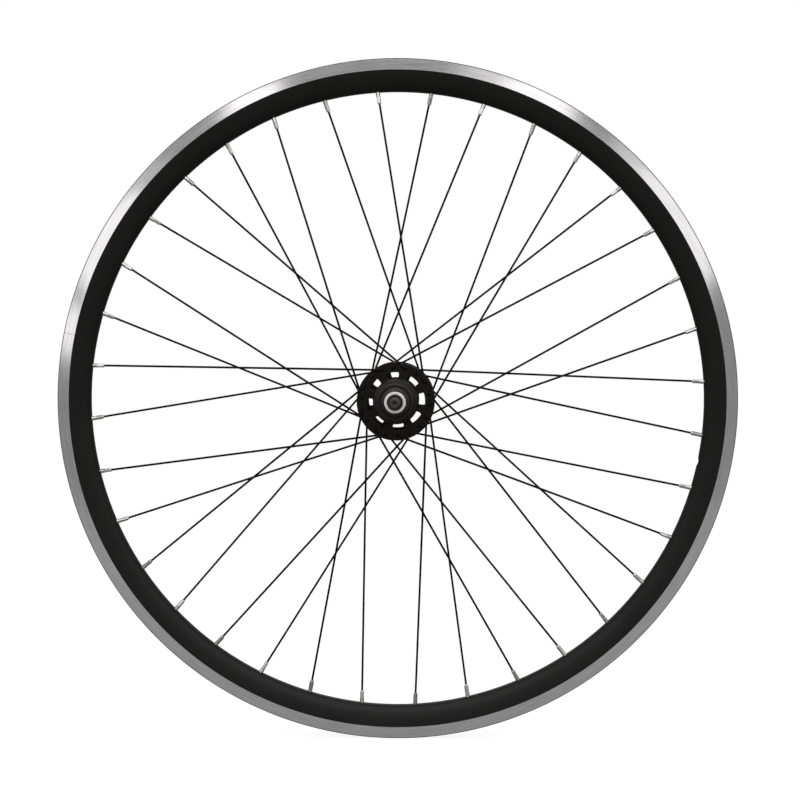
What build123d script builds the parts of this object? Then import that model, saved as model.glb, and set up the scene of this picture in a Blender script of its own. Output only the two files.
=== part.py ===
from build123d import *
from math import cos, pi, radians, sin, sqrt
import os

# A 36-spoke track wheel for a 622 mm tyre, in millimetres. The wheel's centre is the origin, the axle
# lies along Y and Z is up. Angles run from +X towards +Z, as seen from the right side, which faces -Y.

# Rim: a hollow extruded section, rolled into a hoop
bead_seat_diameter = 622.0
lip_height = 6.0  # bead seat to the outer edge
lip_thickness = 2.6
lip_undercut = 0.8  # the lips lean in over the tyre's bead
rim_width = 21.0
rim_depth = 30.0  # outer edge to the crown that faces the hub
track_height = 10.6  # brake track, from the outer edge
track_wall = 1.6
side_bulge = 0.95  # how far the sides stand out between track and crown
side_wall = 1.4
crown_width = 11.2  # where the sides meet the crown's bevels
crown_rise = 3.2
crown_land = 0.3  # flat of the crown on each side of a spoke hole
crown_thickness = 2.2
well_width = 10.0
well_depth = 2.0  # bead seat to the floor of the tyre well
bed_thickness = 1.4
shoulder_drop = 1.0  # brake track to the widest part of the hollow
valve_hole_diameter = 8.3
access_hole_diameter = 8.6
drilled_sides = 8  # facets of the rim's and the flanges' small holes

# Spokes: cold-drawn wire with a bent elbow and a pressed head
spoke_count = 36
crossings = 3
first_spoke_angle = 3.5
wire_diameter = 2.0
wire_sides = 6
elbow_setback = 1.4
head_diameter = 3.8
head_thickness = 1.3
spoke_gap = 0.12  # air between two spokes where they cross, and over the flange
thread_clearance = 0.1  # nipple bore round the spoke's end

# Nipples: turned brass with wrench flats
nipple_length = 16.0
nipple_diameter = 4.0
nipple_head_diameter = 5.8
nipple_head_height = 2.2
nipple_sides = 8
nipple_clearance = 0.4  # rim hole round the tilted nipple
nipple_seat_gap = 0.05
spoke_reach = 0.5  # end of the spoke to the bottom of the nipple's bore

# Hub shell: turned aluminium with two drilled and pierced flanges
flange_spacing = 60.0
flange_diameter = 72.0
flange_thickness = 3.0
spoke_hole_inset = 4.4  # flange edge to the middle of a spoke hole
spoke_hole_clearance = 0.3
window_count = 8
window_foot = 1.1  # shoulder to the windows
window_margin = 4.7  # windows to the circle of spoke holes
window_span = 27.0  # degrees
window_corner = 1.4
right_window_angle = 6.95
left_window_angle = 0.25
barrel_diameter = 30.0
barrel_bore_diameter = 18.0
neck_length = 7.0
neck_diameter = 36.0
shoulder_diameter = 40.0
shoulder_length = 5.5
sprocket_thread_diameter = 34.8
sprocket_thread_length = 9.5
lockring_thread_diameter = 33.0
lockring_thread_length = 5.5

# Bearings: sealed units, each an outer ring that runs round an inner one
bearing_diameter = 26.0
bearing_bore_diameter = 10.0
bearing_width = 8.0
bearing_boss = 0.4  # the inner ring stands proud, so that the cap clears the outer one
bearing_split_diameter = 14.6  # where the outer ring's shields meet the inner ring
bearing_gap = 0.06
fit_gap = 0.02  # a ring on its seat, and a thread in its nut

# Axle, caps and locknuts
locknut_spacing = 120.0
axle_stand_out = 20.0  # free end of the axle beyond each locknut
axle_middle_diameter = 13.0
axle_end_diameter = 9.5
axle_bevel = 0.8
centre_dimple_diameter = 5.0
cap_diameter = 27.2
cap_rim = 0.8
cap_recess = 1.6  # depth of the bearing in the end of the hub shell
cap_air = 0.4  # air round the cap
cap_cone_height = 1.9
cap_neck_diameter = 18.8
locknut_diameter = 19.6
locknut_thickness = 5.0
locknut_face_diameter = 14.4  # inner edge of the ring that grips the frame
locknut_relief = 2.5

# Sizes that follow from those above
seat_radius = bead_seat_diameter / 2
edge_radius = seat_radius + lip_height
crown_radius = edge_radius - rim_depth
floor_radius = crown_radius + crown_thickness
well_radius = seat_radius - well_depth
roof_radius = well_radius - bed_thickness
track_radius = edge_radius - track_height
rim_half = rim_width / 2
wire_radius = wire_diameter / 2
hub_radius = flange_diameter / 2 - spoke_hole_inset
flange_y = flange_spacing / 2
flange_half = flange_thickness / 2
rim_pitch = 360 / spoke_count
lacing_turn = 2 * crossings * rim_pitch
valve_angle = first_spoke_angle - 1.5 * rim_pitch
shoulder_y = flange_y + flange_half + shoulder_length
thread_y = shoulder_y + sprocket_thread_length
shell_y = thread_y + lockring_thread_length
bearing_outer_y = shell_y - cap_recess
bearing_inner_y = bearing_outer_y - bearing_width
locknut_y = locknut_spacing / 2
cap_end_y = locknut_y - locknut_thickness
journal_radius = bearing_bore_diameter / 2 - fit_gap


def on_wheel(angle, radius, y=0.0):
    """The point at an angle, a radius and a distance along the axle."""
    return Vector(radius * cos(radians(angle)), y, radius * sin(radians(angle)))


def drilled_radius(fitted_radius):
    """Corner radius of a faceted hole that clears a round of the given radius."""
    return fitted_radius / cos(pi / drilled_sides)


class Spoke:
    """Where one spoke runs: even ones lace the left flange, odd ones the right."""

    def __init__(self, index):
        self.side = 1 if index % 2 == 0 else -1
        self.lean = 1 if index % 4 in (0, 3) else -1
        # Spokes of one lean leave their flange on the outside, those of the other on the inside
        self.out = -self.lean
        self.number = index // 2 + 1
        self.rim_angle = first_spoke_angle + index * rim_pitch
        self.hub_angle = self.rim_angle + self.lean * lacing_turn
        self.aim = on_wheel(self.rim_angle, floor_radius - crown_thickness / 2)

        # The line from hub hole to rim hole, seen along the axle, and where it meets the last crossing
        hub = on_wheel(self.hub_angle, hub_radius)
        run = self.aim - hub
        along = run.normalized()
        crossing_ray = on_wheel(self.rim_angle + self.lean * rim_pitch, 1)
        to_crossing = hub.cross(crossing_ray).Y / crossing_ray.cross(along).Y
        share = to_crossing / run.length

        # The two spokes swap sides at the last crossing and lie one on the other
        crossing_y = flange_y * (1 - share) - self.out * (wire_radius + spoke_gap / 2)
        self.crossing = hub + along * to_crossing + Vector(0, self.side * crossing_y, 0)

        # An outside spoke has to clear the flange's edge as it leans in, and an inside one stands off as far
        outside_y = flange_y * (1 - share) - (wire_radius + spoke_gap / 2)
        radial = hub.dot(along)
        to_edge = sqrt((flange_diameter / 2) ** 2 - hub_radius**2 + radial**2) - radial
        edge_share = to_edge / to_crossing
        face_y = flange_y + flange_half
        corner_y = (face_y + wire_radius + spoke_gap - outside_y * edge_share) / (1 - edge_share)
        stand_off = corner_y - face_y

        self.seat = hub + Vector(0, self.side * (flange_y - self.out * flange_half), 0)
        corner = hub + Vector(0, self.side * (flange_y + self.out * (flange_half + stand_off)), 0)
        self.axial = Vector(0, self.side * self.out, 0)
        self.bend_start = corner - self.axial * elbow_setback
        self.bend_end = corner + (self.crossing - corner).normalized() * elbow_setback
        self.pull = (self.aim - self.crossing).normalized()

        # The nipple's head stands clear of the rim's floor although the nipple is tilted
        tilt = sqrt(1 - self.pull.dot(on_wheel(self.rim_angle, 1)) ** 2)
        self.head_lift = crown_thickness / 2 + nipple_head_diameter / 2 * tilt + nipple_seat_gap


spokes = [Spoke(index) for index in range(spoke_count)]
spoke_hole_radius = drilled_radius(nipple_diameter / 2 + nipple_clearance)
os.makedirs("parts", exist_ok=True)

# Rim: the section is drawn with the radius along X and the axle along Y
with BuildPart() as rim:
    with BuildSketch(Plane.XY):
        with BuildLine():
            track_end = Vector(track_radius, rim_half)
            side_end = Vector(crown_radius + crown_rise, crown_width / 2)
            outward = (side_end - track_end).rotate(Axis.Z, 90).normalized()
            side_middle = (track_end + side_end) / 2 - outward * side_bulge
            Polyline(
                (well_radius, 0),
                (well_radius, well_width / 2),
                (seat_radius, well_width / 2 + well_depth),
                (seat_radius, rim_half - lip_thickness + lip_undercut),
                (edge_radius, rim_half - lip_thickness),
                (edge_radius, rim_half),
                track_end,
                side_middle,
                side_end,
                (crown_radius, spoke_hole_radius + crown_land),
                (crown_radius, 0),
            )
            mirror(about=Plane.XZ)
        make_face()
        with BuildLine():
            Polyline(
                (roof_radius, 0),
                (roof_radius, rim_half - track_wall),
                (track_radius - shoulder_drop, rim_half - track_wall),
                (floor_radius, crown_width / 2 - side_wall),
                (floor_radius, 0),
            )
            mirror(about=Plane.XZ)
        make_face(mode=Mode.SUBTRACT)
    revolve(axis=Axis.Y)
    # Spoke holes through the crown, and wider ones above them through the tyre bed
    for spoke in spokes:
        outward = on_wheel(spoke.rim_angle, 1)
        with BuildSketch(Plane(outward * (crown_radius - crown_thickness), (0, 1, 0), outward)):
            RegularPolygon(spoke_hole_radius, drilled_sides)
    extrude(amount=3 * crown_thickness, mode=Mode.SUBTRACT)
    for spoke in spokes:
        outward = on_wheel(spoke.rim_angle, 1)
        with BuildSketch(Plane(outward * (roof_radius - bed_thickness), (0, 1, 0), outward)):
            RegularPolygon(drilled_radius(access_hole_diameter / 2), drilled_sides)
    extrude(amount=lip_height + well_depth + 2 * bed_thickness, mode=Mode.SUBTRACT)
    # Valve hole through both walls
    outward = on_wheel(valve_angle, 1)
    with BuildSketch(Plane(outward * (crown_radius - crown_thickness), (0, 1, 0), outward)):
        Circle(valve_hole_diameter / 2)
    extrude(amount=rim_depth, mode=Mode.SUBTRACT)
rim.part.label = "rim"
export_step(rim.part, "parts/rim.step")

# Spokes: the wire goes through its flange, bends over the elbow, swaps sides with its neighbour at the
# last crossing and ends inside its nipple
for spoke in spokes:
    side_name = "left" if spoke.side > 0 else "right"
    name = f"{side_name}_spoke_{spoke.number:02d}"
    with BuildPart() as wire:
        with BuildLine():
            Polyline(spoke.seat, spoke.bend_start, spoke.bend_end, spoke.crossing, spoke.aim)
        with BuildSketch(Plane(spoke.seat, z_dir=spoke.axial)):
            RegularPolygon(wire_radius, wire_sides)
        sweep(transition=Transition.RIGHT)
        with BuildSketch(Plane(spoke.seat, z_dir=-spoke.axial)):
            RegularPolygon(head_diameter / 2, wire_sides)
        extrude(amount=head_thickness)
    wire.part.label = name
    export_step(wire.part, f"parts/{name}.step")

# Nipple: a head inside the rim, a square shank with its corners turned off, and a bore for the spoke. It is
# drawn along Z, with the end of its spoke at the origin
head_lift = max(spoke.head_lift for spoke in spokes)
with BuildPart() as nipple:
    with BuildSketch(Plane.XY.offset(head_lift)):
        RegularPolygon(nipple_head_diameter / 2, nipple_sides)
    extrude(amount=nipple_head_height)
    with BuildSketch(Plane.XY.offset(head_lift)):
        RegularPolygon(nipple_diameter / 2, nipple_sides)
    extrude(amount=nipple_head_height - nipple_length)
    with BuildSketch(Plane.XY.offset(spoke_reach)):
        RegularPolygon((wire_radius + thread_clearance) / cos(pi / wire_sides), wire_sides)
    extrude(amount=-nipple_length, mode=Mode.SUBTRACT)
with BuildPart() as nipples:
    with Locations([Plane(spoke.aim, (0, 1, 0), spoke.pull) for spoke in spokes]):
        add(nipple.part)
nipples.part.label = "spoke_nipples"
export_step(nipples.part, "parts/spoke_nipples.step")

# Hub shell: half of its section from the middle of the barrel to the end of the right side, mirrored
with BuildPart() as hub_shell:
    with BuildSketch(Plane.XY):
        with BuildLine():
            flange_in = flange_y - flange_half
            flange_out = flange_y + flange_half
            Polyline(
                (barrel_bore_diameter / 2, 0),
                (barrel_bore_diameter / 2, bearing_inner_y),
                (bearing_diameter / 2 + fit_gap, bearing_inner_y),
                (bearing_diameter / 2 + fit_gap, bearing_outer_y),
                (cap_diameter / 2 + cap_air, bearing_outer_y),
                (cap_diameter / 2 + cap_air, shell_y),
                (lockring_thread_diameter / 2, shell_y),
                (lockring_thread_diameter / 2, thread_y),
                (sprocket_thread_diameter / 2, thread_y),
                (sprocket_thread_diameter / 2, shoulder_y),
                (shoulder_diameter / 2, shoulder_y),
                (shoulder_diameter / 2, flange_out),
                (flange_diameter / 2, flange_out),
                (flange_diameter / 2, flange_in),
                (neck_diameter / 2, flange_in),
                (barrel_diameter / 2, flange_in - neck_length),
                (barrel_diameter / 2, 0),
            )
            mirror(about=Plane.XZ)
        make_face()
    revolve(axis=Axis.Y)
    # Windows between the ribs of each flange
    window_inner_radius = shoulder_diameter / 2 + window_foot
    window_outer_radius = hub_radius - window_margin
    for side, first_angle in ((-1, right_window_angle), (1, left_window_angle)):
        for index in range(window_count):
            middle = first_angle + index * 360 / window_count
            start = middle - window_span / 2
            with BuildSketch(Plane.XZ.offset(-side * flange_y)):
                with BuildLine():
                    inner = CenterArc((0, 0), window_inner_radius, start, window_span)
                    outer = CenterArc((0, 0), window_outer_radius, start, window_span)
                    Line(inner @ 0, outer @ 0)
                    Line(inner @ 1, outer @ 1)
                make_face()
                chamfer(vertices(), window_corner)
    extrude(amount=flange_thickness, both=True, mode=Mode.SUBTRACT)
    # One hole for each spoke
    for spoke in spokes:
        with BuildSketch(Plane(spoke.seat, z_dir=spoke.axial)):
            RegularPolygon(drilled_radius(wire_radius + spoke_hole_clearance), drilled_sides)
    extrude(amount=flange_thickness, mode=Mode.SUBTRACT)
hub_shell.part.label = "hub_shell"
export_step(hub_shell.part, "parts/hub_shell.step")

# Axle: thick between the bearings, turned down for them and for the nuts at each end
with BuildPart() as axle:
    with BuildSketch(Plane.XY):
        with BuildLine():
            end_y = locknut_y + axle_stand_out
            Polyline(
                (0, 0),
                (axle_middle_diameter / 2, 0),
                (axle_middle_diameter / 2, bearing_inner_y),
                (journal_radius, bearing_inner_y),
                (journal_radius, locknut_y),
                (axle_end_diameter / 2, locknut_y),
                (axle_end_diameter / 2, end_y - axle_bevel),
                (axle_end_diameter / 2 - axle_bevel, end_y),
                (centre_dimple_diameter / 2, end_y),
                (0, end_y - centre_dimple_diameter / 2),
                close=True,
            )
        make_face()
        mirror(about=Plane.XZ)
    revolve(axis=Axis.Y)
axle.part.label = "axle"
export_step(axle.part, "parts/axle.step")

# Each end of the axle carries a bearing, a cap and a locknut
for side, side_name in ((-1, "right"), (1, "left")):
    # Bearing: the ring in the shell holds the balls and shields, and runs round the ring on the axle
    with BuildPart() as outer_ring:
        with BuildSketch(Plane.XZ.offset(-side * bearing_inner_y)):
            Circle(bearing_diameter / 2)
            Circle(bearing_split_diameter / 2, mode=Mode.SUBTRACT)
        extrude(amount=-side * bearing_width)
    outer_ring.part.label = f"{side_name}_bearing_outer_ring"
    export_step(outer_ring.part, f"parts/{side_name}_bearing_outer_ring.step")
    with BuildPart() as inner_ring:
        with BuildSketch(Plane.XZ.offset(-side * bearing_inner_y)):
            Circle(bearing_split_diameter / 2 - bearing_gap)
            Circle(bearing_bore_diameter / 2, mode=Mode.SUBTRACT)
        extrude(amount=-side * (bearing_width + bearing_boss))
    inner_ring.part.label = f"{side_name}_bearing_inner_ring"
    export_step(inner_ring.part, f"parts/{side_name}_bearing_inner_ring.step")

    # Cap: pushes on the inner ring and shields the bearing inside the end of the hub shell
    cap_y = bearing_outer_y + bearing_boss
    with BuildPart() as cap:
        with BuildSketch(Plane.XY):
            with BuildLine():
                Polyline(
                    (bearing_bore_diameter / 2, side * cap_y),
                    (cap_diameter / 2, side * cap_y),
                    (cap_diameter / 2, side * (cap_y + cap_rim)),
                    (cap_neck_diameter / 2, side * (cap_y + cap_rim + cap_cone_height)),
                    (cap_neck_diameter / 2, side * cap_end_y),
                    (bearing_bore_diameter / 2, side * cap_end_y),
                    close=True,
                )
            make_face()
        revolve(axis=Axis.Y)
    cap.part.label = f"{side_name}_bearing_cap"
    export_step(cap.part, f"parts/{side_name}_bearing_cap.step")

    # Locknut: its face is relieved round the axle, so that an outer ring grips the frame
    with BuildPart() as locknut:
        with BuildSketch(Plane.XZ.offset(-side * cap_end_y)):
            Circle(locknut_diameter / 2)
            Circle(bearing_bore_diameter / 2, mode=Mode.SUBTRACT)
        extrude(amount=-side * locknut_thickness)
        with BuildSketch(Plane.XZ.offset(-side * locknut_y)):
            Circle(locknut_face_diameter / 2)
        extrude(amount=side * locknut_relief, mode=Mode.SUBTRACT)
    locknut.part.label = f"{side_name}_locknut"
    export_step(locknut.part, f"parts/{side_name}_locknut.step")
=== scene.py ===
from math import cos, pi, radians, sin, sqrt

import bmesh
import bpy
from mathutils import Matrix, Vector


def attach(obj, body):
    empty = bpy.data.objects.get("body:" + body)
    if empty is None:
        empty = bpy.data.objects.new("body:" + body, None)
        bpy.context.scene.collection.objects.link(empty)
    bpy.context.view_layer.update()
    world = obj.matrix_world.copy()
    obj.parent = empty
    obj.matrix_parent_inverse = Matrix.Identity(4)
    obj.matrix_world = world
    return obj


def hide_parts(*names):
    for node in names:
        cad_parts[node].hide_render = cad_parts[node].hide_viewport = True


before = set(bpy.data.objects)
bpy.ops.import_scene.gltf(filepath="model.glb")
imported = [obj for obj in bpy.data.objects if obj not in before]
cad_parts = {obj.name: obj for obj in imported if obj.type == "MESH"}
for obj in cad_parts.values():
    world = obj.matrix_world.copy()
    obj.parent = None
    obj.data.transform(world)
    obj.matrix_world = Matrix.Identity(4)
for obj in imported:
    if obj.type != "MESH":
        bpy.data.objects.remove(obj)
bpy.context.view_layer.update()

# Hub shell
# One piece of aluminium turned between centres: a barrel, two high flanges and a stepped nose on each side for
# the sprocket and its lockring. The flanges are pierced by windows and drilled for the spokes, and the shell is
# polished and anodised black. The bearings are pressed into its ends.
mm = 0.001
flange_radius, flange_middle, flange_thickness = 36.0, 30.0, 3.0
# Corners of half the section, as distance from the axle, distance along it and rounding, in millimetres
shell_half = [
    (9.0, 0, 0), (9.0, 42.4, 0.3), (13.02, 42.4, 0), (13.02, 50.4, 0), (14.0, 50.4, 0), (14.0, 52.0, 0.35),
    (16.5, 52.0, 0.9), (16.5, 46.5, 0.3), (17.4, 46.5, 0.6), (17.4, 37.0, 0.4), (20.0, 37.0, 1.5),
    (20.0, 31.5, 0.9), (flange_radius, 31.5, 0.45), (flange_radius, 28.5, 0.45), (18.0, 28.5, 1.4),
    (15.0, 21.5, 3.0), (15.0, 0, 0),
]
shell_steps = 160
window_count, window_steps = 8, 14
window_inner, window_outer, window_span, window_corner = 21.1, 26.9, 27.0, 1.9
left_window, right_window = 0.25, 6.95
spoke_count, first_spoke, spoke_pitch, lacing_turn = 36, 3.5, 10.0, 60.0
hub_hole_circle, hub_hole_radius, hub_hole_sides = 31.6, 1.25, 20
shell_pitch = 1.06
flange_black = (0.004, 0.0032, 0.0011, 1), (0.0065, 0.0052, 0.0018, 1)
nose_black = (0.0075, 0.0068, 0.0055, 1), (0.016, 0.0148, 0.0125, 1)
cap_black = (0.014, 0.0125, 0.0105, 1), (0.026, 0.0235, 0.02, 1)


class Shade:
    """A socket among a finish's nodes. Sums on it add Math nodes, and node() adds a node of any other type."""

    def __init__(self, tree, socket=None):
        self.tree = tree
        self.socket = socket

    def node(self, kind, settings, sockets, output=0):
        added = self.tree.nodes.new("ShaderNode" + kind)
        for name, value in settings.items():
            setattr(added, name, value)
        for name, value in sockets.items():
            if isinstance(value, Shade):
                self.tree.links.new(value.socket, added.inputs[name])
            else:
                added.inputs[name].default_value = value
        return Shade(self.tree, added.outputs[output])

    def math(self, operation, first, second=0.0):
        return self.node("Math", {"operation": operation}, {0: first, 1: second})

    def __add__(self, other):
        return self.math("ADD", self, other)

    __radd__ = __add__

    def __sub__(self, other):
        return self.math("SUBTRACT", self, other)

    def __rsub__(self, other):
        return self.math("SUBTRACT", other, self)

    def __mul__(self, other):
        return self.math("MULTIPLY", self, other)

    __rmul__ = __mul__

    def __truediv__(self, other):
        return self.math("DIVIDE", self, other)

    def __rtruediv__(self, other):
        return self.math("DIVIDE", other, self)

    def __pow__(self, other):
        return self.math("POWER", self, other)

    def __abs__(self):
        return self.math("ABSOLUTE", self)

    def step(self, low, high):
        """Rises smoothly from 0 at low to 1 at high."""
        return self.node("MapRange", {"interpolation_type": "SMOOTHSTEP"},
                         {"Value": self, "From Min": low, "From Max": high})

    def mixed(self, first, second):
        """One colour where this is 0 and the other where it is 1."""
        return self.node("Mix", {"data_type": "RGBA"}, {"Factor": self, 6: first, 7: second}, 2)

    def noise(self, scale, detail):
        """Soft spots laid out over this vector."""
        return self.node("TexNoise", {}, {"Vector": self, "Scale": scale, "Detail": detail})


def new_finish(name):
    """A material, and the place on the piece that its marks follow."""
    material = bpy.data.materials.new(name)
    material.use_nodes = True
    return material, Shade(material.node_tree).node("TexCoord", {}, {}, "Object")


def round_axle(place):
    """How far a place lies along the axle, how far from it, and at what angle round it."""
    x, y, z = (place.node("SeparateXYZ", {}, {0: place}, axis) for axis in range(3))
    return y, (x * x + z * z) ** 0.5, place.math("ARCTAN2", z, x)


def thread_ridge(y, angle, pitch):
    """A ridge that winds round the axle: 1 at its crest and 0 in its groove."""
    turns = y / (pitch * mm) + angle / (2 * pi)
    return 2 * abs(turns.math("FRACT", turns) - 0.5)


def painted(material, sockets):
    """Sets or links the sockets of a finish's shader."""
    surface = material.node_tree.nodes["Principled BSDF"]
    for name, value in sockets.items():
        if isinstance(value, Shade):
            material.node_tree.links.new(value.socket, surface.inputs[name])
        else:
            surface.inputs[name].default_value = value


def at(turn, distance, y=0.0):
    """A point at an angle in degrees, a distance from the axle and a place along it, in metres."""
    return Vector((distance * cos(radians(turn)), y, distance * sin(radians(turn)))) * mm


def laced(spoke):
    """A spoke's flange, 1 for left and -1 for right, the way that it leans and its angle at the rim."""
    side = 1 if spoke % 2 == 0 else -1
    lean = 1 if spoke % 4 in (0, 3) else -1
    return side, lean, first_spoke + spoke_pitch * spoke


def drawn_section(mesh, points, closed=False):
    """Draws the corners of a section as a wire beside the axle and rounds them."""
    corners = [mesh.verts.new((radius * mm, y * mm, 0)) for radius, y, _ in points]
    for first, second in zip(corners, corners[1:]):
        mesh.edges.new((first, second))
    if closed:
        mesh.edges.new((corners[-1], corners[0]))
    fewest, most, each_mm = 3, 8, 4
    for corner, (_, _, rounding) in zip(corners, points):
        if rounding:
            segments = max(fewest, min(most, round(rounding * each_mm)))
            bmesh.ops.bevel(mesh, geom=[corner], offset=rounding * mm, offset_type="OFFSET", affect="VERTICES",
                            segments=segments, profile=0.5, material=-1)


def welded(mesh):
    """Joins the points that fall together and turns every face outward."""
    bmesh.ops.remove_doubles(mesh, verts=mesh.verts[:], dist=0.002 * mm)
    bmesh.ops.recalc_face_normals(mesh, faces=mesh.faces[:])


def turned(mesh, steps):
    """Spins what is drawn once round the axle and closes it."""
    bmesh.ops.spin(mesh, geom=mesh.verts[:] + mesh.edges[:], axis=(0, 1, 0), cent=(0, 0, 0), dvec=(0, 0, 0),
                   angle=2 * pi, steps=steps, use_merge=True, use_duplicate=False)
    welded(mesh)


def mirrored(points):
    """A half section continued to the other side of the wheel's middle."""
    return points + [(radius, -y, rounding) for radius, y, rounding in reversed(points) if y > 0]


def as_piece(mesh, name, material, body, nodes):
    """Makes a finished mesh a piece that rides on its body in place of its CAD nodes."""
    data = bpy.data.meshes.new(name)
    mesh.to_mesh(data)
    mesh.free()
    data.shade_smooth()
    data.set_sharp_from_angle(angle=radians(38))
    data.materials.append(material)
    piece = bpy.data.objects.new(name, data)
    bpy.context.scene.collection.objects.link(piece)
    normals = piece.modifiers.new("even_normals", "WEIGHTED_NORMAL")
    normals.keep_sharp = True
    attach(piece, body)
    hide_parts(*nodes)


def cut(mesh, tool):
    """Takes one closed mesh out of another and returns what is left."""
    pair = []
    for name, source in (("blank", mesh), ("cutter", tool)):
        data = bpy.data.meshes.new(name)
        source.to_mesh(data)
        source.free()
        pair.append(bpy.data.objects.new(name, data))
        bpy.context.scene.collection.objects.link(pair[-1])
    blank, cutter = pair
    boolean = blank.modifiers.new("cut", "BOOLEAN")
    boolean.operation = "DIFFERENCE"
    boolean.solver = "EXACT"
    boolean.object = cutter
    left = bpy.data.meshes.new_from_object(blank.evaluated_get(bpy.context.evaluated_depsgraph_get()))
    for used in pair:
        bpy.data.objects.remove(used)
    result = bmesh.new()
    result.from_mesh(left)
    bpy.data.meshes.remove(left)
    return result


shell = bmesh.new()
drawn_section(shell, mirrored(shell_half), closed=True)
turned(shell, shell_steps)

# What is cut away: the windows, as wedges with rounded corners, and the spoke holes
cutters = bmesh.new()
cut_depth = 2 * flange_thickness
sharp_corner = 1.0
for side, first_window in ((-1, right_window), (1, left_window)):
    low = side * flange_middle - flange_thickness
    for window in range(window_count):
        wedge = bmesh.new()
        ring = [wedge.verts.new((radius * mm, (low + depth) * mm, 0)) for radius, depth in (
            (window_inner, 0), (window_outer, 0), (window_outer, cut_depth), (window_inner, cut_depth))]
        bmesh.ops.spin(wedge, geom=[wedge.faces.new(ring)], axis=(0, -1, 0), cent=(0, 0, 0), dvec=(0, 0, 0),
                       angle=radians(window_span), steps=window_steps, use_merge=False, use_duplicate=False)
        welded(wedge)
        corners = [edge for edge in wedge.edges
                   if abs(edge.verts[0].co.y - edge.verts[1].co.y) > flange_thickness * mm
                   and edge.calc_face_angle() > sharp_corner]
        bmesh.ops.bevel(wedge, geom=corners, offset=window_corner * mm, offset_type="OFFSET", affect="EDGES",
                        segments=6, profile=0.5, material=-1)
        turn = first_window + 360 / window_count * window - window_span / 2
        bmesh.ops.rotate(wedge, verts=wedge.verts[:], cent=(0, 0, 0), matrix=Matrix.Rotation(radians(-turn), 3, "Y"))
        wedge_data = bpy.data.meshes.new("wedge")
        wedge.to_mesh(wedge_data)
        wedge.free()
        cutters.from_mesh(wedge_data)
        bpy.data.meshes.remove(wedge_data)
for spoke in range(spoke_count):
    side, lean, rim_turn = laced(spoke)
    hole = at(rim_turn + lacing_turn * lean, hub_hole_circle, side * flange_middle)
    bmesh.ops.create_cone(cutters, cap_ends=True, cap_tris=False, segments=hub_hole_sides,
                          radius1=hub_hole_radius * mm, radius2=hub_hole_radius * mm, depth=cut_depth * mm,
                          matrix=Matrix.Translation(hole) @ Matrix.Rotation(pi / 2, 4, "X"))
shell = cut(shell, cutters)

black_polish, place = new_finish("black_polished_anodising")
y, radius, angle = round_axle(place)
# Fine turning lines run round every surface, and the dye is a little uneven
turning = place.node("CombineXYZ", {}, {0: radius * 2600, 1: y * 2600, 2: angle * 0.6}).noise(1.0, 2.0)
patches = place.noise(90.0, 3.0)
# The noses are coloured a little greyer than the flanges, and the caps greyer still
nose = abs(y).step(0.0325, 0.0335) * (1 - radius.step(0.0205, 0.0210))
cap_cone = abs(y).step(0.05205, 0.05225)
# Threads for the sprocket and, in front of it, its lockring
thread = abs(y).step(0.0376, 0.0380) * (1 - abs(y).step(0.0508, 0.0512)) * radius.step(0.0162, 0.0164)
fine = place.node("Bump", {}, {"Strength": 0.12, "Distance": 0.02 * mm, "Height": turning})
painted(black_polish, {
    "Base Color": cap_cone.mixed(nose.mixed(patches.mixed(*flange_black), turning.mixed(*nose_black)),
                                 turning.mixed(*cap_black)),
    "Roughness": 0.18 + 0.08 * turning + 0.06 * patches + 0.06 * nose + 0.1 * cap_cone,
    "Specular IOR Level": 0.17,
    "Normal": place.node("Bump", {}, {"Strength": 0.8, "Distance": 0.4 * mm, "Normal": fine,
                                      "Height": thread * thread_ridge(y, angle, shell_pitch)}),
})
as_piece(shell, "hub_shell_turned", black_polish, "wheel", ["hub_shell"])

# Bearings
# Sealed steel ball bearings, ground all over, pressed into the hub shell and on the axle. Little of them shows
# behind the caps, so the CAD rings stay and get a ground steel finish.
ground_grey = (0.42, 0.42, 0.43, 1), (0.6, 0.6, 0.6, 1)
ground_steel, place = new_finish("ground_steel")
y, radius, angle = round_axle(place)
grinding = place.node("CombineXYZ", {}, {0: radius * 4000, 1: y * 4000, 2: angle}).noise(1.0, 2.0)
painted(ground_steel, {
    "Base Color": grinding.mixed(*ground_grey),
    "Metallic": 1.0,
    "Roughness": 0.22 + 0.12 * grinding,
})
for ring in ("left_bearing_outer_ring", "right_bearing_outer_ring", "left_bearing_inner_ring",
             "right_bearing_inner_ring"):
    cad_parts[ring].data.materials.clear()
    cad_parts[ring].data.materials.append(ground_steel)

# Axle
# A solid steel axle, thick between the bearings and threaded at both ends for the nuts that hold it in the frame.
# The ends are bevelled and keep the small cone that the lathe's centre left.
axle_half = [
    (6.5, 0, 0), (6.5, 42.4, 0.3), (4.98, 42.4, 0), (4.98, 60.0, 0), (4.75, 60.0, 0), (4.75, 79.2, 0.2),
    (3.95, 80.0, 0.15), (2.2, 80.0, 0.2), (0.7, 78.3, 0), (0, 78.3, 0),
]
axle_steps = 64
axle_pitch = 0.98
oiled_brown = (0.031, 0.0265, 0.0228, 1), (0.072, 0.062, 0.054, 1)
axle = bmesh.new()
drawn_section(axle, [(radius, -y, rounding) for radius, y, rounding in reversed(axle_half) if y > 0] + axle_half)
turned(axle, axle_steps)
dark_steel, place = new_finish("dark_oiled_steel")
y, radius, angle = round_axle(place)
thread = abs(y).step(0.0600, 0.0603) * radius.step(0.0043, 0.0046)
grain = place.noise(900.0, 3.0)
painted(dark_steel, {
    "Base Color": grain.mixed(*oiled_brown),
    "Metallic": 0.7,
    "Roughness": 0.36 + 0.14 * grain,
    "Normal": place.node("Bump", {}, {"Strength": 0.9, "Distance": 0.35 * mm,
                                      "Height": thread * thread_ridge(y, angle, axle_pitch)}),
})
as_piece(axle, "axle_turned", dark_steel, "axle", ["axle"])

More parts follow.
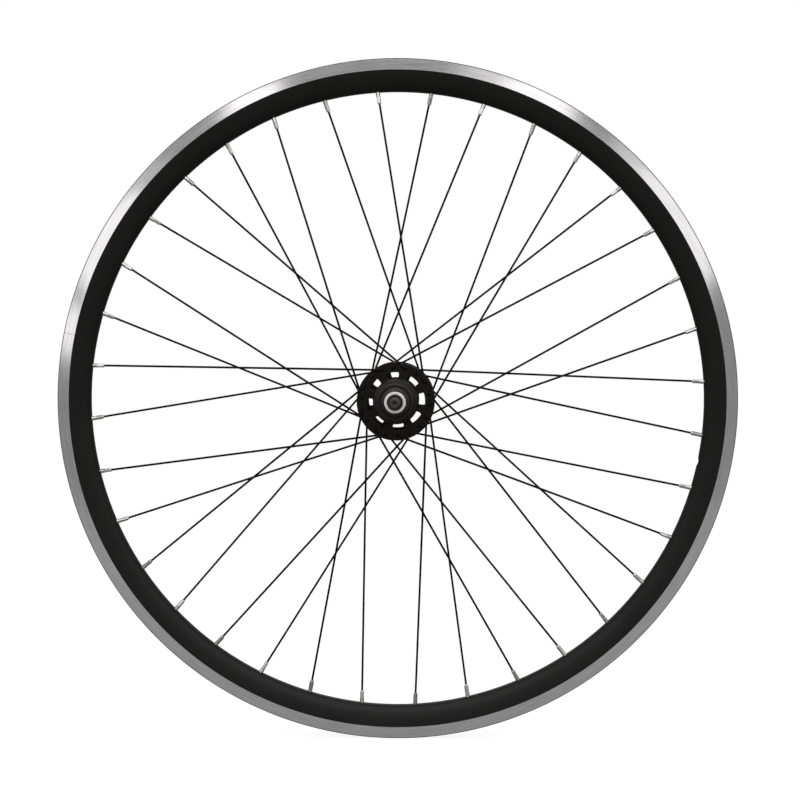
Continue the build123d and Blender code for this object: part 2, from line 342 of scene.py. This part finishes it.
# Bearing caps
# A black conical cap on each side pushes on the bearing's inner ring and keeps dirt out of the end of the shell.
# Each is turned from aluminium bar and anodised with the shell.
cap_section = [
    (5.0, 50.8, 0), (13.6, 50.8, 0.2), (13.6, 51.6, 0.3), (12.6, 52.1, 0.3), (9.9, 53.6, 0.6), (9.4, 54.2, 0.4),
    (9.4, 55.0, 0), (5.0, 55.0, 0),
]
cap_steps = 96


def on_side(points, side):
    """A section set at the left end of the axle, 1, or at the right one, -1."""
    return [(radius, side * y, rounding) for radius, y, rounding in points]


for side, side_name in ((-1, "right"), (1, "left")):
    cap = bmesh.new()
    drawn_section(cap, on_side(cap_section, side), closed=True)
    turned(cap, cap_steps)
    as_piece(cap, f"{side_name}_cap_turned", black_polish, "axle", [f"{side_name}_bearing_cap"])

# Locknuts
# A steel nut on each side clamps the cap against the bearing. Its outer face is a raised ring, turned
# bright, that grips the frame; the middle is relieved round the axle. The rest of the nut, the relief too, is coloured
# near black.
locknut_section = [
    (5.0, 55.0, 0), (9.4, 55.0, 0.3), (9.8, 55.8, 0.2), (9.8, 60.0, 0.35), (7.2, 60.0, 0.25), (7.0, 57.5, 0.3),
    (5.0, 57.5, 0),
]
locknut_steps = 96
nut_black = (0.03, 0.03, 0.032, 1)
ring_bright = (0.66, 0.645, 0.625, 1), (0.8, 0.785, 0.755, 1)
locknut_finish, place = new_finish("locknut_bright_ring")
y, radius, angle = round_axle(place)
bright = abs(y).step(0.0592, 0.0596) * radius.step(0.00715, 0.00725)
turning = place.node("CombineXYZ", {}, {0: radius * 5200, 1: angle * 0.8, 2: y * 5200}).noise(1.0, 3.0)
painted(locknut_finish, {
    "Base Color": bright.mixed(nut_black, turning.mixed(*ring_bright)),
    "Metallic": 0.6 + 0.4 * bright,
    "Roughness": 0.42 + 0.1 * turning,
    "Normal": place.node("Bump", {}, {"Strength": 0.25, "Distance": 0.03 * mm, "Height": turning}),
})
for side, side_name in ((-1, "right"), (1, "left")):
    nut = bmesh.new()
    drawn_section(nut, on_side(locknut_section, side), closed=True)
    turned(nut, locknut_steps)
    as_piece(nut, f"{side_name}_locknut_turned", locknut_finish, "axle", [f"{side_name}_locknut"])

# Spokes
# Thirty-six drawn wires of 2 mm stainless steel, blackened. Each has a pressed head that sits on its flange, an
# elbow, a slight bend where it goes behind the last spoke that it crosses, and a thread inside its nipple.
wire_radius, wire_sides = 1.0, 14
aim_radius = 288.1
elbow_setback = 1.6
crossing_run = 9.0
spoke_air = 0.12
elbow_parts = (0, 0.2, 0.4, 0.6, 0.8, 1)
crossing_parts = (0, 0.25, 0.5, 0.75, 1)
# Rings of the pressed head, from its crown to the wire, as radius and height over the flange
head_rings = [(0.5, 1.3), (1.2, 1.18), (1.7, 0.8), (1.9, 0.35), (1.85, 0.05), (1.3, 0.0), (1.0, -0.15)]
wire_black = (0.0012, 0.0012, 0.0012, 1), (0.0034, 0.0034, 0.0034, 1)


def bent(start, corner, end, parts):
    """Points on the curve that rounds a corner, at shares of the way."""
    return [start.lerp(corner, part).lerp(corner.lerp(end, part), part) for part in parts]


def spoke_run(spoke):
    """The points that one spoke's wire follows, its way through the flange and its way into the nipple."""
    side, lean, rim_turn = laced(spoke)
    hub = at(rim_turn + lacing_turn * lean, hub_hole_circle)
    aim = at(rim_turn, aim_radius)
    run = aim - hub
    along = run.normalized()
    # Where the spoke meets the last one that it crosses, one on the other
    ray = at(rim_turn + lean * spoke_pitch, 1 / mm)
    reach = hub.cross(ray).y / ray.cross(along).y
    share = reach / run.length
    over = (wire_radius + spoke_air / 2) * mm
    crossing = hub + along * reach
    crossing.y = side * (flange_middle * mm * (1 - share) + lean * over)
    # How far the elbow stands off, so that the wire clears the flange's edge as it leans in
    radial = hub.dot(along)
    edge_share = (sqrt((flange_radius * mm) ** 2 - hub.length ** 2 + radial ** 2) - radial) / reach
    face = (flange_middle + flange_thickness / 2) * mm
    outside = flange_middle * mm * (1 - share) - over
    stand_off = (face + (wire_radius + spoke_air) * mm - outside * edge_share) / (1 - edge_share) - face
    axial = Vector((0, -side * lean, 0))
    middle = hub + Vector((0, side * flange_middle * mm, 0))
    seat = middle - axial * flange_thickness / 2 * mm
    corner = middle + axial * (flange_thickness / 2 * mm + stand_off)
    leaving = (crossing - corner).normalized()
    pull = (aim - crossing).normalized()
    elbow = bent(corner - axial * elbow_setback * mm, corner, corner + leaving * elbow_setback * mm, elbow_parts)
    swap = bent(crossing - leaving * crossing_run * mm, crossing, crossing + pull * crossing_run * mm, crossing_parts)
    return [seat, *elbow, *swap, aim], axial, pull


def set_along(point, across, way):
    """Moves what is drawn on the Z axis to a point and turns it to run a given way."""
    return Matrix.Translation(point) @ Matrix((across, way.cross(across), way)).transposed().to_4x4()


def skinned(mesh, sides, rings):
    """Joins rings, each given as its place and radius, by a skin that is closed at both ends."""
    loops = []
    for there, radius in rings:
        ring = bmesh.ops.create_circle(mesh, cap_ends=False, segments=sides, radius=radius * mm, matrix=there)["verts"]
        loops.append(list({edge for vert in ring for edge in vert.link_edges}))
    for first, second in zip(loops, loops[1:]):
        bmesh.ops.bridge_loops(mesh, edges=first + second)
    bmesh.ops.contextual_create(mesh, geom=loops[0])
    bmesh.ops.contextual_create(mesh, geom=loops[-1])


spoke_sides = {1: bmesh.new(), -1: bmesh.new()}
for spoke in range(spoke_count):
    run, axial, pull = spoke_run(spoke)
    across = axial.cross(pull).normalized()
    rings = [(set_along(run[0] - axial * height * mm, across, axial), radius) for radius, height in head_rings]
    for before, here, after in zip(run, run[1:], run[2:] + [run[-1] + pull * mm]):
        way = ((here - before).normalized() + (after - here).normalized()).normalized()
        rings.append((set_along(here, across, way), wire_radius))
    skinned(spoke_sides[laced(spoke)[0]], wire_sides, rings)
black_wire, place = new_finish("blackened_drawn_wire")
drawing = place.noise(900.0, 3.0)
painted(black_wire, {
    "Base Color": drawing.mixed(*wire_black),
    "Specular IOR Level": 0.08,
    "Roughness": 0.3 + 0.16 * drawing,
    "Normal": place.node("Bump", {}, {"Strength": 0.15, "Distance": 0.03 * mm, "Height": drawing}),
})
for side, side_name in ((-1, "right"), (1, "left")):
    bmesh.ops.recalc_face_normals(spoke_sides[side], faces=spoke_sides[side].faces[:])
    as_piece(spoke_sides[side], f"{side_name}_spokes_drawn", black_wire, "wheel",
             [f"{side_name}_spoke_{number:02d}" for number in range(1, 19)])

# Rim
# A hollow aluminium extrusion rolled into a hoop and joined, anodised black and then turned on both sides to give
# bright brake tracks. The crown is drilled for the nipples, the tyre bed above it so that they can be put in.
crown_radius, floor_radius, roof_radius, bed_radius = 287.0, 289.2, 307.6, 309.0
rim_half = [
    (bed_radius, 0, 0), (bed_radius, 5.0, 0.7), (311.0, 7.0, 0.6), (311.0, 8.7, 0.5), (314.2, 8.7, 0.4),
    (315.0, 7.9, 0.4), (316.95, 7.9, 0.8), (316.95, 10.5, 0.7), (306.4, 10.5, 0.25), (298.0, 9.0, 7.2),
    (290.3, 5.9, 3.6), (crown_radius, 2.9, 2.0), (crown_radius, 0, 0),
]
hollow_half = [
    (roof_radius, 0, 0), (roof_radius, 8.9, 0.6), (305.4, 8.9, 0.8), (floor_radius, 4.2, 0.8), (floor_radius, 0, 0),
]
sector_steps = 14
nipple_hole, bed_hole, valve_hole, rim_hole_sides = 2.4, 4.3, 4.15, 24
valve_turn = first_spoke - 1.5 * spoke_pitch
# Half of the flat, and how steeply the curve beside it rises, outside and inside the crown
crown_flat, crown_curve = 0.9, 0.145
floor_flat, floor_curve = 3.5, 0.5
dyed_black = (0.003, 0.0029, 0.0027, 1), (0.006, 0.0059, 0.0055, 1)
track_bright = (0.48, 0.468, 0.47, 1), (0.95, 0.938, 0.94, 1)
seam_grey = (0.3, 0.3, 0.3, 1)


def crown_level(y):
    """How far the outside of the crown lies from the axle, at a place across it."""
    return crown_radius + crown_curve * max(0.0, abs(y) - crown_flat) ** 2


def floor_level(y):
    """How far the floor of the hollow lies from the axle, at a place across it."""
    return floor_radius + floor_curve * max(0.0, abs(y) - floor_flat) ** 2


def drilled(mesh, turn, hole_radius, skins):
    """Opens a round hole through two skins, each given as its level, slack, half width and half length."""
    outward, tangent, axle_way = at(turn, 1 / mm), at(turn + 90, 1 / mm), Vector((0, 1, 0))
    turned_to = Matrix((tangent, axle_way, outward)).transposed().to_4x4()
    rings = []
    for level, slack, half_width, half_length in skins:
        zone = []
        for face in mesh.faces:
            middle = face.calc_center_median()
            if abs(middle.y) < half_width * mm and abs(middle.dot(tangent)) < half_length * mm:
                if abs(middle.dot(outward) - level(middle.y / mm) * mm) < slack * mm and abs(face.normal.y) < 0.9:
                    zone.append(face)
        inside = set(zone)
        border = [edge for edge in {edge for face in zone for edge in face.edges}
                  if sum(face in inside for face in edge.link_faces) == 1]
        bmesh.ops.delete(mesh, geom=zone, context="FACES")
        ring = bmesh.ops.create_circle(mesh, cap_ends=False, segments=rim_hole_sides, radius=hole_radius * mm,
                                       matrix=turned_to)["verts"]
        for vert in ring:
            aside = vert.co.dot(tangent)
            vert.co += outward * (sqrt((level(vert.co.y / mm) * mm) ** 2 - aside ** 2) - vert.co.dot(outward))
        edges = list({edge for vert in ring for edge in vert.link_edges})
        bmesh.ops.bridge_loops(mesh, edges=border + edges)
        rings.append(edges)
    bmesh.ops.bridge_loops(mesh, edges=rings[0] + rings[1])


# One spoke's share of the hoop is drilled first and then repeated all the way round
rim = bmesh.new()
drawn_section(rim, mirrored(rim_half), closed=True)
drawn_section(rim, mirrored(hollow_half), closed=True)
bmesh.ops.spin(rim, geom=rim.verts[:] + rim.edges[:], axis=(0, -1, 0), cent=(0, 0, 0), dvec=(0, 0, 0),
               angle=radians(spoke_pitch), steps=sector_steps, use_merge=False, use_duplicate=False)
bmesh.ops.rotate(rim, verts=rim.verts[:], cent=(0, 0, 0),
                 matrix=Matrix.Rotation(radians(spoke_pitch / 2 - first_spoke), 3, "Y"))
rim.normal_update()
tyre_side = [(lambda y: roof_radius, 0.4, 8.4, 7.8), (lambda y: bed_radius, 0.4, 4.7, 7.8)]
drilled(rim, first_spoke, nipple_hole, [(crown_level, 0.5, 3.4, 3.7), (lambda y: floor_radius, 0.4, 3.5, 3.7)])
drilled(rim, first_spoke, bed_hole, tyre_side)
bmesh.ops.spin(rim, geom=rim.verts[:] + rim.edges[:] + rim.faces[:], axis=(0, -1, 0), cent=(0, 0, 0),
               dvec=(0, 0, 0), angle=radians(360 - spoke_pitch), steps=spoke_count - 1, use_merge=False,
               use_duplicate=True)
bmesh.ops.remove_doubles(rim, verts=rim.verts[:], dist=0.01 * mm)
rim.normal_update()
drilled(rim, valve_turn, valve_hole, [(crown_level, 0.5, 5.4, 5.6), (floor_level, 0.4, 4.7, 5.6)])
drilled(rim, valve_turn, valve_hole, tyre_side)
bmesh.ops.recalc_face_normals(rim, faces=rim.faces[:])

rim_finish, place = new_finish("black_anodising_bright_track")
y, radius, angle = round_axle(place)
track = radius.step(0.3063, 0.3067) * (1 - radius.step(0.3160, 0.3163)) * abs(y).step(0.0102, 0.0104)
# The tool leaves fine lines round the track, and handling leaves it cloudy
tooling = place.node("CombineXYZ", {}, {0: radius * 3400, 1: angle * 1.6, 2: 0.0}).noise(1.0, 3.0)
clouds = place.node("CombineXYZ", {}, {0: radius * 420, 1: angle * 11, 2: 0.0}).noise(1.0, 3.0)
grain = place.noise(700.0, 3.0)
patches = place.noise(26.0, 3.0)
# The hoop's two ends meet across from the valve, and the tool left a hairline there
seam = track * (1 - abs(angle - radians(valve_turn + 180)).step(0.0004, 0.0009))
bright = (0.35 * tooling + 0.65 * clouds).mixed(*track_bright)
painted(rim_finish, {
    "Base Color": seam.mixed(track.mixed(patches.mixed(*dyed_black), bright), seam_grey),
    "Metallic": track,
    "Roughness": track * (0.07 + 0.03 * tooling) + (1 - track) * (0.4 + 0.1 * grain),
    "Specular IOR Level": 0.15,
    "Normal": place.node("Bump", {}, {"Strength": 0.05, "Distance": 0.03 * mm,
                                      "Height": track * tooling + (1 - track) * grain - seam}),
})
as_piece(rim, "rim_rolled", rim_finish, "wheel", ["rim"])

# Nipples
# Brass nuts, nickel plated, that pull the spokes tight. The domed head sits inside the rim, a round neck comes out
# of the hole, and the rest is squared for the wrench and pointed towards the spoke.
head_lift = 1.65
shank_radius, nipple_sides = 2.0, 24
flat_top, flat_end, tip = -5.2, -11.0, -12.1
flats_across = 3.3
tip_radius, tip_foot_radius = 1.35, 1.66
# Rings of the head and neck, as radius and height along the spoke
nipple_turnings = [
    (2.3, 2.2 + head_lift), (2.8, 1.6 + head_lift), (2.9, 0.6 + head_lift), (2.6, 0.05 + head_lift),
    (shank_radius, head_lift), (shank_radius, flat_top),
]
first_stop, stop_step = 17, 37
nickel_grey = (0.37, 0.362, 0.345, 1), (0.54, 0.53, 0.505, 1)
nipple = bmesh.new()
skinned(nipple, nipple_sides,
        [(Matrix.Translation((0, 0, height * mm)), radius) for radius, height in nipple_turnings])
wrench = bmesh.ops.create_cone(nipple, cap_ends=True, cap_tris=False, segments=nipple_sides,
                               radius1=shank_radius * mm, radius2=shank_radius * mm,
                               depth=(flat_top - flat_end) * mm,
                               matrix=Matrix.Translation((0, 0, (flat_top + flat_end) / 2 * mm)))["verts"]
for quarter in range(4):
    way = Matrix.Rotation(quarter * pi / 2, 3, "Z") @ Vector((1, 0, 0))
    part = list({vert for face in {face for vert in wrench if vert.is_valid for face in vert.link_faces}
                 for vert in face.verts})
    geom = part + list({edge for vert in part for edge in vert.link_edges})
    geom += list({face for vert in part for face in vert.link_faces})
    left = bmesh.ops.bisect_plane(nipple, geom=geom, dist=0.0001 * mm, plane_co=way * flats_across / 2 * mm,
                                  plane_no=way, clear_outer=True, clear_inner=False)
    flat_edges = [item for item in left["geom_cut"] if isinstance(item, bmesh.types.BMEdge)]
    bmesh.ops.contextual_create(nipple, geom=flat_edges)
    wrench = [item for item in left["geom"] if isinstance(item, bmesh.types.BMVert)]
bmesh.ops.create_cone(nipple, cap_ends=True, cap_tris=False, segments=nipple_sides, radius1=tip_radius * mm,
                      radius2=tip_foot_radius * mm, depth=(flat_end - tip) * mm,
                      matrix=Matrix.Translation((0, 0, (flat_end + tip) / 2 * mm)))
bmesh.ops.recalc_face_normals(nipple, faces=nipple.faces[:])
nipple_data = bpy.data.meshes.new("nipple")
nipple.to_mesh(nipple_data)
nipple.free()
nipples = bmesh.new()
for spoke in range(spoke_count):
    run, _, pull = spoke_run(spoke)
    across = Vector((0, 1, 0)).cross(pull).normalized()
    # Each nipple stops at a turn of its own, as the wheel was trued
    twist = Matrix.Rotation(radians(first_stop + stop_step * spoke % 90), 4, "Z")
    before = len(nipples.verts)
    nipples.from_mesh(nipple_data)
    nipples.verts.ensure_lookup_table()
    bmesh.ops.transform(nipples, matrix=set_along(run[-1], across, pull) @ twist, verts=nipples.verts[before:])
bpy.data.meshes.remove(nipple_data)
nickel, place = new_finish("nickel_plate")
tarnish = place.noise(420.0, 4.0)
painted(nickel, {
    "Base Color": tarnish.mixed(*nickel_grey),
    "Metallic": 1.0,
    "Roughness": 0.34 + 0.16 * tarnish,
    "Normal": place.node("Bump", {}, {"Strength": 0.15, "Distance": 0.03 * mm, "Height": tarnish}),
})
as_piece(nipples, "spoke_nipples_turned", nickel, "wheel", ["spoke_nipples"])

# Floor, light and camera
# The wheel stands on a pale floor in a white studio. Ten strip lights behind the camera give the brake track its
# bright and dim arcs, and six softboxes, in front, at the sides, behind and far out, light the black pieces.
ground_level, ground_radius = -0.3171, 2.4
floor_grey = (0.1, 0.1, 0.1, 1), (0.13, 0.13, 0.13, 1)
ground_in_metal, sky_on_object = 0.2, 0.3
floor = bmesh.new()
bmesh.ops.create_circle(floor, cap_ends=True, segments=96, radius=ground_radius,
                        matrix=Matrix.Translation((0, 0, ground_level)))
floor_data = bpy.data.meshes.new("studio_floor")
floor.to_mesh(floor_data)
floor.free()
studio_floor = bpy.data.objects.new("studio_floor", floor_data)
bpy.context.scene.collection.objects.link(studio_floor)
white_floor, place = new_finish("white_floor")
seen = (place.node("LightPath", {}, {}, "Is Camera Ray")
        + ground_in_metal * place.node("LightPath", {}, {}, "Is Glossy Ray"))
painted(white_floor, {
    "Base Color": place.noise(40.0, 2.0).mixed(*floor_grey),
    "Roughness": 0.9,
    "Specular IOR Level": 0.1,
    "Emission Color": seen.mixed((0, 0, 0, 1), (1, 1, 1, 1)),
    "Emission Strength": 0.9,
})
studio_floor.data.materials.append(white_floor)

world = bpy.data.worlds.new("studio")
bpy.context.scene.world = world
world.use_nodes = True
start = Shade(world.node_tree)
seen = start.node("LightPath", {}, {}, "Is Camera Ray") + start.node("LightPath", {}, {}, "Is Transmission Ray")
sky = world.node_tree.nodes["Background"]
sky.inputs["Color"].default_value = (1, 1, 1, 1)
world.node_tree.links.new((sky_on_object + (1 - sky_on_object) * seen).socket, sky.inputs["Strength"])

# The strip lights lie on the circle that the brake track mirrors: first angle, last angle and glow
strip_circle, strip_middle, strip_depth = 0.819, Vector((-0.06, -2.6, -0.097)), 0.3
for first, last, glow in (
        (20.5, 44, 0.92), (44, 50, 0.45), (58, 71.8, 1.2), (71.8, 79.5, 0.47), (79.5, 110.3, 0.06),
        (110.3, 120.8, 1.3), (120.8, 134, 0.07), (134, 141, 0.3), (141, 160.5, 1.0), (163.3, 172.3, 1.0)):
    middle = (first + last) / 2
    lamp = bpy.data.lights.new(f"strip_{middle:.0f}", "AREA")
    lamp.shape = "RECTANGLE"
    lamp.size = 2 * strip_circle * sin(radians(last - first) / 2)
    lamp.size_y = strip_depth
    lamp.energy = glow * pi * lamp.size * lamp.size_y
    strip = bpy.data.objects.new(lamp.name, lamp)
    strip.location = strip_middle + at(middle, strip_circle / mm)
    facing = Matrix.Rotation(radians(90 - middle), 3, "Y") @ Matrix.Rotation(pi / 2, 3, "X")
    strip.rotation_euler = facing.to_euler()
    bpy.context.scene.collection.objects.link(strip)
# The softboxes face the hub: place, width and power
for name, spot, width, power in (
        ("softbox_front", (0, -1.8, 1.75), 2.3, 52), ("softbox_right", (1.7, -1.9, 0.95), 1.5, 10.6),
        ("softbox_left", (-1.7, -1.9, 0.95), 1.5, 10.6), ("softbox_back", (0, 1.9, 1.9), 2.6, 30),
        ("softbox_far_right", (2.4, 0.5, 1.4), 2.2, 18), ("softbox_far_left", (-2.4, 0.5, 1.4), 2.2, 18)):
    lamp = bpy.data.lights.new(name, "AREA")
    lamp.shape = "SQUARE"
    lamp.size = width
    lamp.energy = power
    softbox = bpy.data.objects.new(name, lamp)
    softbox.location = spot
    softbox.rotation_euler = (-Vector(spot)).to_track_quat("-Z", "Y").to_euler()
    bpy.context.scene.collection.objects.link(softbox)

view_distance, view_right, view_up = 1.591, radians(1.337), radians(2.155)
camera_data = bpy.data.cameras.new("camera")
camera_data.lens = 76.4
camera_data.shift_x = 0.0044
camera_data.shift_y = 0.0003
camera = bpy.data.objects.new("camera", camera_data)
camera.location = view_distance * Vector((
    sin(view_right) * cos(view_up), -cos(view_right) * cos(view_up), sin(view_up)))
camera.rotation_euler = (-camera.location).to_track_quat("-Z", "Y").to_euler()
bpy.context.scene.collection.objects.link(camera)
bpy.context.scene.camera = camera
bpy.context.scene.view_settings.view_transform = "Standard"
